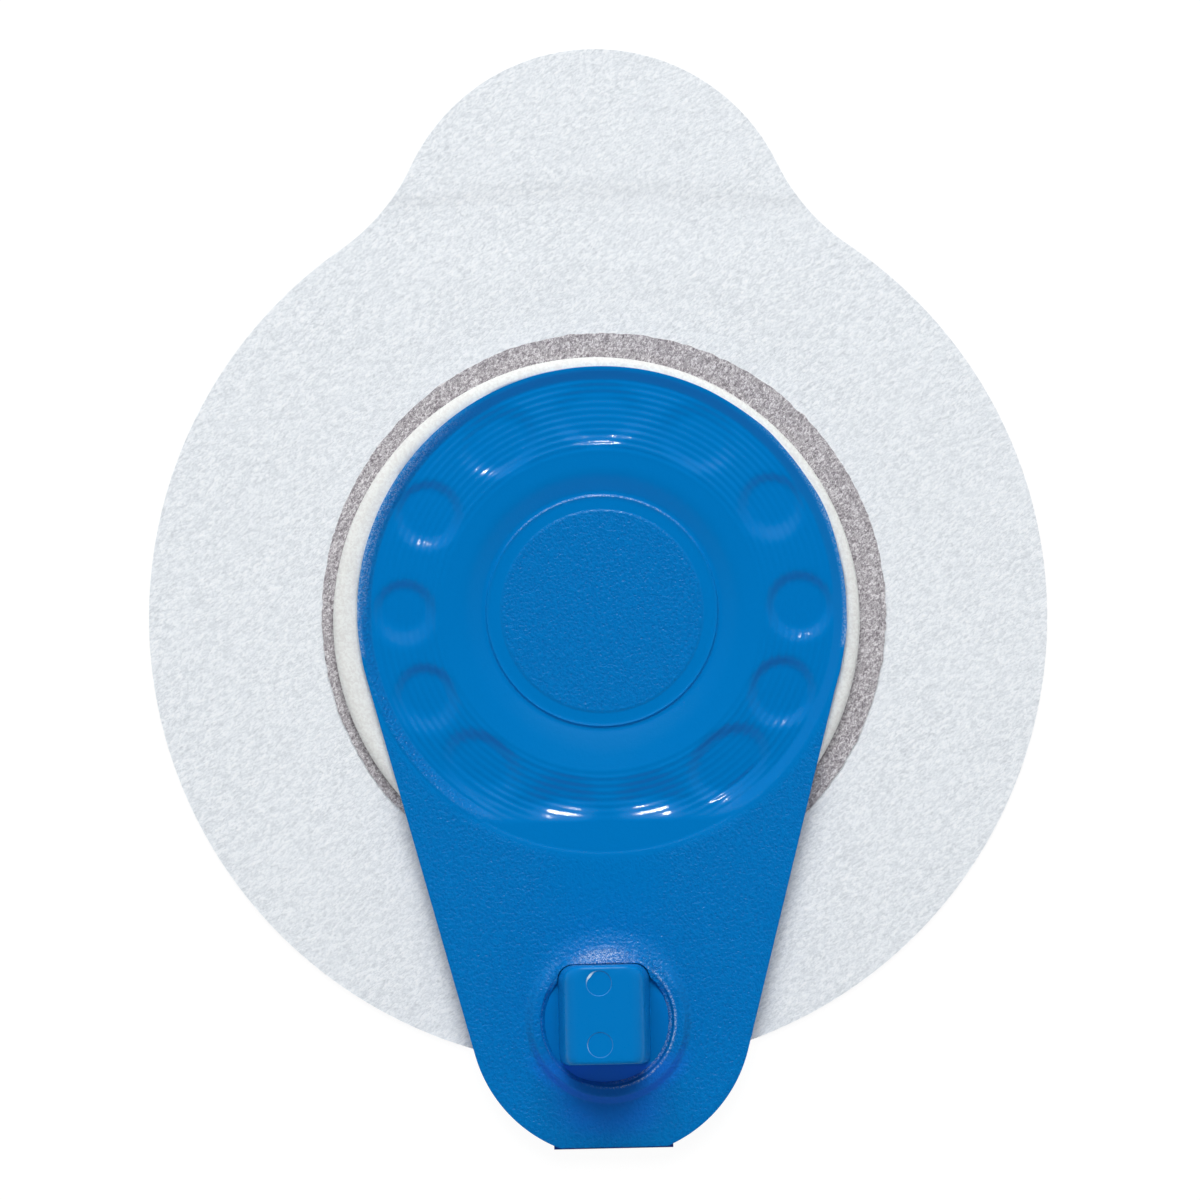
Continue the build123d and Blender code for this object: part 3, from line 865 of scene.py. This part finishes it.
def makeFilm():
    bm = bmesh.new()
    spinRound(bm, [(r, 0, filmTop) for r in dishRadii()], film["steps"])
    chord = makeNeck(bm)
    makeTail(bm, tailOutline(chord))
    for vert in bm.verts:
        x, y = vert.co.x, vert.co.y
        radius = math.hypot(x, y)
        if radius <= film["head"] + 1e-3:
            vert.co.z = filmHeight(x, y)
        if radius > dish["band"] and y > film["waveSouth"]:
            wave = film["wave"] * ripple(x, y, film["waveSize"], film["waveSeed"])
            wave *= smooth(dish["band"], film["head"], radius) * smooth(*film["waveFrom"], x)
            vert.co.xy *= 1 + wave / radius
        vert.co.z += film["sway"] * ripple(x, y, film["swaySize"], film["swaySeed"])
    bmesh.ops.recalc_face_normals(bm, faces=bm.faces[:])
    thickenDown(bm, film["thickness"])
    outer = [e for e in sharpEdges(bm, 55) if (e.verts[0].co.xy - holeMiddle.xy).length > collar["foot"]]
    roundEdges(bm, outer, film["edge"], 2)
    for vert in bm.verts:
        if vert.normal.z < 0 and (vert.co.xy - holeMiddle.xy).length < collar["crown"]:
            vert.co.z = max(vert.co.z, flangeTop - 0.01)
    bm.normal_update()
    # per vertex: grain strength, painted highlights with a painted shadow gap, and painted shade
    layers = [bm.verts.layers.float.new(name) for name in ("grain", "cut", "paintedShade")]
    for vert in bm.verts:
        x, y = vert.co.x, vert.co.y
        shares = (grainShare(x, y), paintedLightShare(x, y), paintedShadeShare(vert.co, vert.normal))
        for layer, value in zip(layers, shares):
            vert[layer] = value
    bmesh.ops.transform(bm, matrix=turnMatrix, verts=bm.verts[:])
    piece = addPiece("coverFilm", bm, [filmMaterial()], "cover_film")
    print("film", len(piece.data.polygons), "faces")


# foam ring under the film: a soft rounded outer edge, pressed down under the dish
foamRing = {"radius": 16.3, "middle": (-0.34, -0.59), "window": 10.05, "edge": 0.68, "drop": 0.5,
            "steps": 240, "topRows": 18, "edgeRows": 12, "underFilm": 0.28, "least": 0.02,
            "stripHalf": 3.8, "stripSouth": -3, "sway": 0.03, "swaySize": 1.6, "swaySeed": 5.0}


def makeFoam():
    bm = bmesh.new()
    outer, inner, edge, drop = foamRing["radius"], foamRing["window"], foamRing["edge"], foamRing["drop"]
    points = [(inner, 0, webTop)]
    topRows, edgeRows = foamRing["topRows"], foamRing["edgeRows"]
    points += [(inner + (outer - edge - inner) * i / topRows, 0, foamTop) for i in range(topRows + 1)]
    for i in range(1, edgeRows + 1):
        turn = math.pi / 2 * i / edgeRows
        points.append((outer - edge + edge * math.sin(turn), 0, foamTop - drop + drop * math.cos(turn)))
    points += [(outer, 0, webTop), (inner, 0, webTop)]
    spinRound(bm, points, foamRing["steps"])
    stripLow = boxMm("sensor_strip")[0].z
    for vert in bm.verts:
        share = smooth(inner, outer, vert.co.xy.length)
        vert.co.xy += Vector(foamRing["middle"]) * share
        local = turnMatrix.inverted() @ vert.co
        radius = local.xy.length
        if vert.co.z > webTop + 1e-4:
            if radius < dish["wall"]:
                pressed = plainDish(radius) - film["thickness"] - foamRing["underFilm"]
                vert.co.z = max(webTop + foamRing["least"], min(vert.co.z, pressed))
            if abs(local.x) < foamRing["stripHalf"] and local.y < foamRing["stripSouth"]:
                vert.co.z = min(vert.co.z, stripLow)
            sway = ripple(vert.co.x, vert.co.y, foamRing["swaySize"], foamRing["swaySeed"])
            vert.co.z += foamRing["sway"] * sway
    bmesh.ops.recalc_face_normals(bm, faces=bm.faces[:])
    piece = addPiece("foamRing", bm, [foamMaterial()], "foam_ring")


# gel sponge in the pad's window, crowned a little towards the skin
sponge = {"radius": 9.95, "edge": 0.18, "steps": 160, "rows": 16, "flatShare": 0.97, "crown": 0.02}


def makeSponge():
    bm = bmesh.new()
    top = boxMm("gel_sponge")[1].z
    radius, edge, rows = sponge["radius"], sponge["edge"], sponge["rows"]
    flat = radius * sponge["flatShare"]
    points = [(flat * i / rows, 0, max(0.0, sponge["crown"] * ripple(i, 0, 2.0))) for i in range(rows + 1)]
    points += [(radius, 0, edge), (radius, 0, top - edge), (radius - edge, 0, top), (0, 0, top)]
    spinRound(bm, points, sponge["steps"])
    bmesh.ops.recalc_face_normals(bm, faces=bm.faces[:])
    piece = addPiece("gelSponge", bm, [gelMaterial()], "gel_sponge")


# lead socket: block with leaning sides, round shoulders and a chamfered mouth, on a round flange
block = {"width": 5.66, "length": 6.10, "shoulder": 1.0, "draft": 0.40, "along": 0.2, "bore": 2.2,
         "chamfer": 0.2, "depth": 5.3, "edge": 0.22, "backCorner": 0.95, "frontInset": 0.28, "frontEase": 0.7,
         "shoulderRows": 8, "wallRows": 5, "floorRows": 8,
         "frontRows": (0.02, 0.07, 0.14, 0.22, 0.42, 0.7),
         "backRows": (0.95, 0.72, 0.5, 0.34, 0.22, 0.14, 0.07, 0.02, 0)}
marks = {"radius": 0.80, "pitch": 3.80, "depth": 0.05, "shift": (-0.3, 0.07), "steps": 48, "wall": 0.055,
         "highlightLeast": 0.07, "glintSpan": 26, "places": [
             {"side": -0.5, "aim": 185, "glint": 0.35, "widen": 0.0},
             {"side": 0.5, "aim": 141, "glint": 1.0, "widen": 0.13},
         ]}
blockShift = ((turnMatrix.inverted() @ Vector(socketMount["pos_m"])).x / mm, block["along"])


# width lost from a side near an end of the block, along a quarter of an ellipse
def cornerInset(fromEnd, across, along):
    share = min(1.0, max(0.0, fromEnd / along))
    return across * (1 - math.sqrt(1 - (1 - share) ** 2))


def halfWidth(depth):
    front = cornerInset(depth, block["frontInset"], block["frontEase"])
    back = cornerInset(block["length"] - depth, block["backCorner"], block["backCorner"])
    return block["width"] / 2 - front - back


def insideBlock(point):
    spot = point - tailMiddle
    depth = spot.y - blockShift[1] + block["length"] / 2
    return 0 <= depth <= block["length"] and abs(spot.x - blockShift[0]) < halfWidth(depth)


def archOutline(front):
    half, top, shoulder = block["width"] / 2, housingHigh.z, block["shoulder"]
    slope = block["draft"] / (top - flangeTop)
    eaves = top - shoulder
    upper = half - slope * (eaves - flangeTop)
    points = []
    for side in (1, -1):
        corner = []
        for i in range(block["shoulderRows"] + 1):
            turn = math.pi / 2 * i / block["shoulderRows"]
            x = side * (upper - shoulder + shoulder * math.cos(turn))
            corner.append(Vector((x, front, eaves + shoulder * math.sin(turn))))
        points += corner if side > 0 else corner[::-1]
    wall, floor = block["wallRows"], block["floorRows"]
    eave, foot = Vector((-upper, front, eaves)), Vector((-half, front, flangeTop))
    left = [eave.lerp(foot, (i + 1) / wall) for i in range(wall)]
    base = [Vector((-half + block["width"] * (i + 1) / floor, front, flangeTop)) for i in range(floor)]
    right = [base[-1].lerp(Vector((upper, front, eaves)), (i + 1) / wall) for i in range(wall - 1)]
    return points + left + base + right


def growLoop(bm, edges, move):
    grown = bmesh.ops.extrude_edge_only(bm, edges=edges)["geom"]
    verts = {g for g in grown if isinstance(g, bmesh.types.BMVert)}
    for vert in verts:
        vert.co = move(vert.co.copy())
    return [g for g in grown if isinstance(g, bmesh.types.BMEdge) and set(g.verts) <= verts]


# share of the full height that the roof keeps near both ends
def heightShare(depth):
    edge = block["edge"]
    drop = cornerInset(depth, edge, edge) + cornerInset(block["length"] - depth, edge, edge)
    return 1 - drop / (housingHigh.z - flangeTop)


# a section moved along the block, drawn in and lowered near both ends: round corners and eased roof edges
def moveSection(point, halfBefore, heightBefore, depth):
    height = flangeTop + (point.z - flangeTop) * heightShare(depth) / heightBefore
    return Vector((point.x * halfWidth(depth) / halfBefore, depth - block["length"] / 2, height))


def makeHousing():
    bm = bmesh.new()
    paintedHighlight = bm.verts.layers.float.new("paintedHighlight")
    length, front = block["length"], -block["length"] / 2
    boreHeight = socketMount["pos_m"][2] / mm
    outline = archOutline(front)
    verts = [bm.verts.new(moveSection(p, block["width"] / 2, 1.0, 0)) for p in outline]
    loop = [bm.edges.new(pair) for pair in zip(verts, verts[1:] + verts[:1])]

    def ring(radius, depth):
        def move(point):
            out = Vector((point.x, point.z - boreHeight)).normalized() * radius
            return Vector((out.x, front + depth, boreHeight + out.y))
        return move

    mouth = growLoop(bm, loop, ring(block["bore"] + block["chamfer"], 0))
    throat = growLoop(bm, mouth, ring(block["bore"], block["chamfer"]))
    bottom = growLoop(bm, throat, ring(block["bore"], block["depth"]))
    bmesh.ops.contextual_create(bm, geom=bottom)
    row = loop
    last = 0.0
    for depth in [*block["frontRows"], *(length - back for back in block["backRows"])]:
        row = growLoop(bm, row, lambda p: moveSection(p, halfWidth(last), heightShare(last), depth))
        last = depth
    bmesh.ops.contextual_create(bm, geom=row)
    bmesh.ops.recalc_face_normals(bm, faces=bm.faces[:])
    bmesh.ops.translate(bm, vec=(*blockShift, 0), verts=bm.verts[:])
    addMarks(bm, paintedHighlight)
    addFlange(bm)
    bmesh.ops.transform(bm, matrix=turnMatrix @ Matrix.Translation(tailMiddle), verts=bm.verts[:])
    finishes = [plasticMaterial(), rimMaterial()]
    piece = addPiece("socketHousing", bm, finishes, "socket_housing")
    piece.data.set_sharp_from_angle(angle=math.radians(38))


# shallow round marks let into the block's flat roof; their rims carry a painted highlight, strongest on the
# upper left of one
def addMarks(bm, paintedHighlight):
    top = housingHigh.z
    flat = [f for f in bm.faces if f.normal.z > 0.999 and f.calc_center_median().z > top - 0.003]
    roof = bmesh.ops.dissolve_faces(bm, faces=flat, use_verts=True)["region"][0]
    border = list(roof.edges)
    bmesh.ops.delete(bm, geom=[roof], context="FACES_ONLY")
    centre = Vector((*blockShift, top)) + Vector((*marks["shift"], 0))
    spots = [centre + Vector((0, mark["side"] * marks["pitch"], 0)) for mark in marks["places"]]
    rings = []
    for spot in spots:
        middle = Matrix.Translation(spot)
        made = bmesh.ops.create_circle(bm, segments=marks["steps"], radius=marks["radius"], matrix=middle)
        rings.append(list({e for v in made["verts"] for e in v.link_edges}))
    bmesh.ops.triangle_fill(bm, use_beauty=True, edges=border + rings[0] + rings[1], normal=(0, 0, 1))
    for spot, edges, mark in zip(spots, rings, marks["places"]):

        def glint(point):
            off = math.degrees(math.atan2(point.y - spot.y, point.x - spot.x)) % 360 - mark["aim"]
            return mark["glint"] * math.exp(-((off / marks["glintSpan"]) ** 2))

        def inward(point):
            shrink = marks["wall"] + mark["widen"] * glint(point)
            return spot + (point - spot) * (1 - shrink) - Vector((0, 0, marks["depth"]))

        known = set(bm.faces)
        walls = growLoop(bm, edges, inward)
        for face in set(bm.faces) - known:
            face.material_index = 1
        # painted highlight along each rim, strongest towards the mark's aim
        for vert in {v for e in edges + walls for v in e.verts}:
            vert[paintedHighlight] = marks["highlightLeast"] + (1 - marks["highlightLeast"]) * glint(vert.co)
        for face in bmesh.ops.contextual_create(bm, geom=walls)["faces"]:
            face.material_index = 0
    bmesh.ops.recalc_face_normals(bm, faces=bm.faces[:])


def addFlange(bm):
    radius = (housingHigh.x - housingLow.x) / 2
    low = Matrix.Translation((0, 0, foamTop))
    made = bmesh.ops.create_circle(bm, cap_ends=True, segments=96, radius=radius, matrix=low)["verts"]
    disc = [f for f in made[0].link_faces]
    grown = bmesh.ops.extrude_face_region(bm, geom=disc)["geom"]
    lifted = [g for g in grown if isinstance(g, bmesh.types.BMVert)]
    bmesh.ops.translate(bm, vec=(0, 0, flangeTop - foamTop), verts=lifted)
    faces = list({f for v in lifted + made for f in v.link_faces})
    bmesh.ops.recalc_face_normals(bm, faces=faces)


makePad()
makeWeb()
makeFoam()
makeSponge()
makeFilm()
makeHousing()
print("pieces made")


# carried-over solids get their finish
def finishNode(node, material):
    piece = frame["nodes"][node]
    piece.data.materials.clear()
    piece.data.materials.append(material)


finishNode("sensor_strip", stripMaterial())
finishNode("grip_strip", clearFilmMaterial())
finishNode("stiffener_disc", stiffenerMaterial())
finishNode("contact_sleeve", metalMaterial())


# floor, light and camera
studio = {"floor": 4.0, "floorTone": 0.87, "floorGlow": 1.07, "glowShare": 0.88,
          "sky": 0.44, "zenith": 0.04, "zenithStart": 0.78, "zenithEnd": 0.93}
lamps = {"north lamp": {"place": (-0.03, 0.55, 0.60), "size": 0.66, "power": 6.55, "diffuse": True},
         "glint lamp": {"place": (-0.04, 0.635, 0.535), "size": 0.09, "power": 8.0, "diffuse": False}}
camera = {"middle": (-0.124, 0.681), "width": 74.3, "distance": 1500.0, "sensor": 36.0}


def anyOf(tree, sockets):
    total = sockets[0]
    for socket in sockets[1:]:
        total = mathNode(tree, "MAXIMUM", total, socket)
    return total


def makeFloor():
    bm = bmesh.new()
    bmesh.ops.create_grid(bm, x_segments=8, y_segments=8, size=studio["floor"] / 2)
    mesh = bpy.data.meshes.new("floor")
    bm.to_mesh(mesh)
    bm.free()
    floor = bpy.data.objects.new("floor", mesh)
    floor.location.z = -0.05 * mm
    bpy.context.scene.collection.objects.link(floor)
    material = bpy.data.materials.new("pale floor")
    material.use_nodes = True
    tree = material.node_tree
    shader = tree.nodes["Principled BSDF"]
    shader.inputs["Base Color"].default_value = (studio["floorTone"],) * 3 + (1,)
    shader.inputs["Roughness"].default_value = 1.0
    shader.inputs["Specular IOR Level"].default_value = 0.0
    path = place(tree, "ShaderNodeLightPath").outputs
    seen = anyOf(tree, [path["Is Camera Ray"], path["Is Glossy Ray"], path["Is Transmission Ray"]])
    glow = place(tree, "ShaderNodeEmission", {"Color": (1, 1, 1, 1), "Strength": studio["floorGlow"]})
    share = mathNode(tree, "MULTIPLY", seen, studio["glowShare"])
    mixed = place(tree, "ShaderNodeMixShader", {0: share, 1: shader.outputs[0], 2: glow.outputs[0]})
    tree.links.new(mixed.outputs[0], tree.nodes["Material Output"].inputs["Surface"])
    mesh.materials.append(material)


def makeWorld():
    world = bpy.data.worlds.new("studio")
    bpy.context.scene.world = world
    world.use_nodes = True
    tree = world.node_tree
    dim = tree.nodes["Background"]
    dim.inputs["Color"].default_value = (0.97, 0.985, 1.0, 1)
    around = place(tree, "ShaderNodeTexCoord").outputs["Generated"]
    up = place(tree, "ShaderNodeSeparateXYZ", {0: around}).outputs[2]
    start, end = studio["zenithStart"], studio["zenithEnd"]
    strength = stretchRange(tree, up, start, end, studio["sky"], studio["zenith"])
    tree.links.new(strength, dim.inputs["Strength"])
    white = place(tree, "ShaderNodeBackground", {"Color": (1, 1, 1, 1), "Strength": 1.0})
    seen = place(tree, "ShaderNodeLightPath").outputs["Is Camera Ray"]
    mixed = place(tree, "ShaderNodeMixShader", {0: seen, 1: dim.outputs[0], 2: white.outputs[0]})
    tree.links.new(mixed.outputs[0], tree.nodes["World Output"].inputs["Surface"])


def makeLamp(name, lamp):
    light = bpy.data.lights.new(name, "AREA")
    light.size = lamp["size"]
    light.energy = lamp["power"]
    fitting = bpy.data.objects.new(name, light)
    fitting.location = lamp["place"]
    fitting.rotation_euler = (-Vector(lamp["place"])).to_track_quat("-Z", "Y").to_euler()
    fitting.visible_camera = False
    fitting.visible_diffuse = lamp["diffuse"]
    fitting.visible_glossy = not lamp["diffuse"]
    bpy.context.scene.collection.objects.link(fitting)


def makeCamera():
    view = bpy.data.cameras.new("camera")
    view.sensor_width = camera["sensor"]
    view.lens = camera["sensor"] * camera["distance"] / camera["width"]
    view.clip_start = 0.01
    view.clip_end = 20
    eye = bpy.data.objects.new("camera", view)
    eye.location = (camera["middle"][0] * mm, camera["middle"][1] * mm, camera["distance"] * mm)
    bpy.context.scene.collection.objects.link(eye)
    bpy.context.scene.camera = eye


makeFloor()
makeWorld()
for lampName, lampValues in lamps.items():
    makeLamp(lampName, lampValues)
makeCamera()
bpy.context.scene.view_settings.view_transform = "Standard"
print("stage set")
